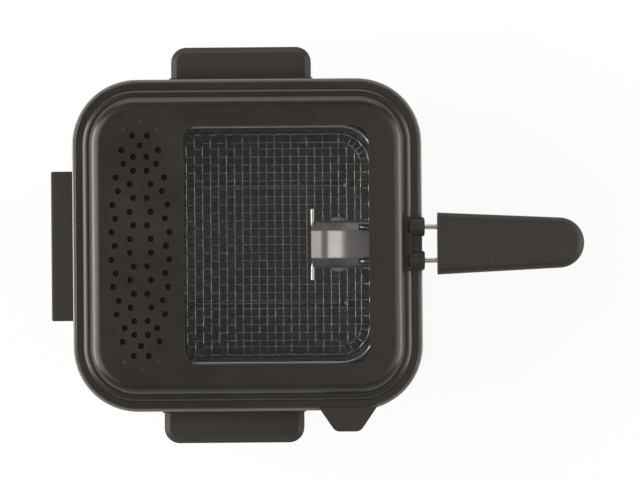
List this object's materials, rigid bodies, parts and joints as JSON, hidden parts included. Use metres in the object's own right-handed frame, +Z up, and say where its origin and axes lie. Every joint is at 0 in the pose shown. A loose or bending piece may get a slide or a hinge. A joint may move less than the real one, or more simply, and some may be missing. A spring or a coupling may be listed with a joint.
{
  "type": "deep fryer",
  "caption": "Tabletop deep fryer: steel housing and oil bowl, wire basket with a long handle, lift-off black lid with window and vent holes, side handles and a hooded thermostat knob.",
  "frame": {"origin": "middle of the footprint, on the plane that the feet stand on", "axes": "+X towards the end of the basket handle, +Z up, the control box faces -X"},
  "size_m": [0.3974, 0.2972, 0.187],
  "materials": {
    "housing_steel": "brushed",
    "rim_steel": "satin",
    "bowl_coating": "non-stick satin",
    "black_plastic": "fine matte",
    "panel_plastic": "satin",
    "rubber": "matte",
    "lid_paint": "satin black enamel",
    "window_glass": "clear",
    "steel": "zinc plated",
    "aluminium": "mill",
    "chrome_wire": "bright plated",
    "element_sheath": "oxidised sheath",
    "ceramic": "matte",
    "copper": "drawn",
    "filter_felt": "felt",
    "lamp_red": "clear tint",
    "lamp_green": "clear tint"
  },
  "bodies": {
    "housing": {"outer_housing": "housing_steel", "rim_trim": "rim_steel", "oil_bowl": "bowl_coating", "base_plate": "black_plastic", "feet": "rubber", "handle_plate_left": "black_plastic", "handle_plate_right": "black_plastic", "side_handle_left": "black_plastic", "side_handle_right": "black_plastic", "handle_screws": "steel", "heating_element": "element_sheath", "element_clamp": "steel", "heat_shield": "aluminium", "thermal_cutout": "ceramic", "tie_studs": "steel", "tie_nuts": "steel", "control_box": "black_plastic", "control_screws": "steel", "control_panel": "panel_plastic", "power_lamp": "lamp_red", "ready_lamp": "lamp_green", "thermostat": "ceramic", "cord_gland": "rubber", "terminal_block": "ceramic", "sensor_bulb": "copper", "sensor_clip": "steel"},
    "knob": {"thermostat_shaft": "steel", "thermostat_knob": "black_plastic"},
    "basket": {"basket_floor": "chrome_wire", "basket_sides": "chrome_wire", "basket_corners": "chrome_wire", "basket_rim_wire": "chrome_wire", "basket_skids": "chrome_wire", "handle_bracket": "chrome_wire", "handle_wire": "chrome_wire", "grip_upper": "black_plastic", "grip_lower": "black_plastic", "grip_screws": "steel"},
    "lid": {"lid_shell": "lid_paint", "window_gasket": "rubber", "window_glass": "window_glass", "window_frame": "steel", "window_screws": "steel", "filter_tray": "black_plastic", "filter_grille": "black_plastic", "filter_mat": "filter_felt", "vent_rivets": "steel", "wire_guide": "black_plastic", "lid_grip": "black_plastic", "lid_grip_rivets": "steel"}
  },
  "joints": [
    {"name": "thermostat_turn", "type": "hinge", "parent": "housing", "child": "knob", "pos_m": [-0.1937, 0, 0.088], "axis": [1, 0, 0], "range_deg": [0, 270]},
    {"name": "basket_lift", "type": "slide", "parent": "housing", "child": "basket", "axis": [0, 0, 1], "range_m": [0, 0.2]},
    {"name": "lid_lift", "type": "slide", "parent": "basket", "child": "lid", "axis": [0, 0, 1], "range_m": [0, 0.15]}
  ]
}
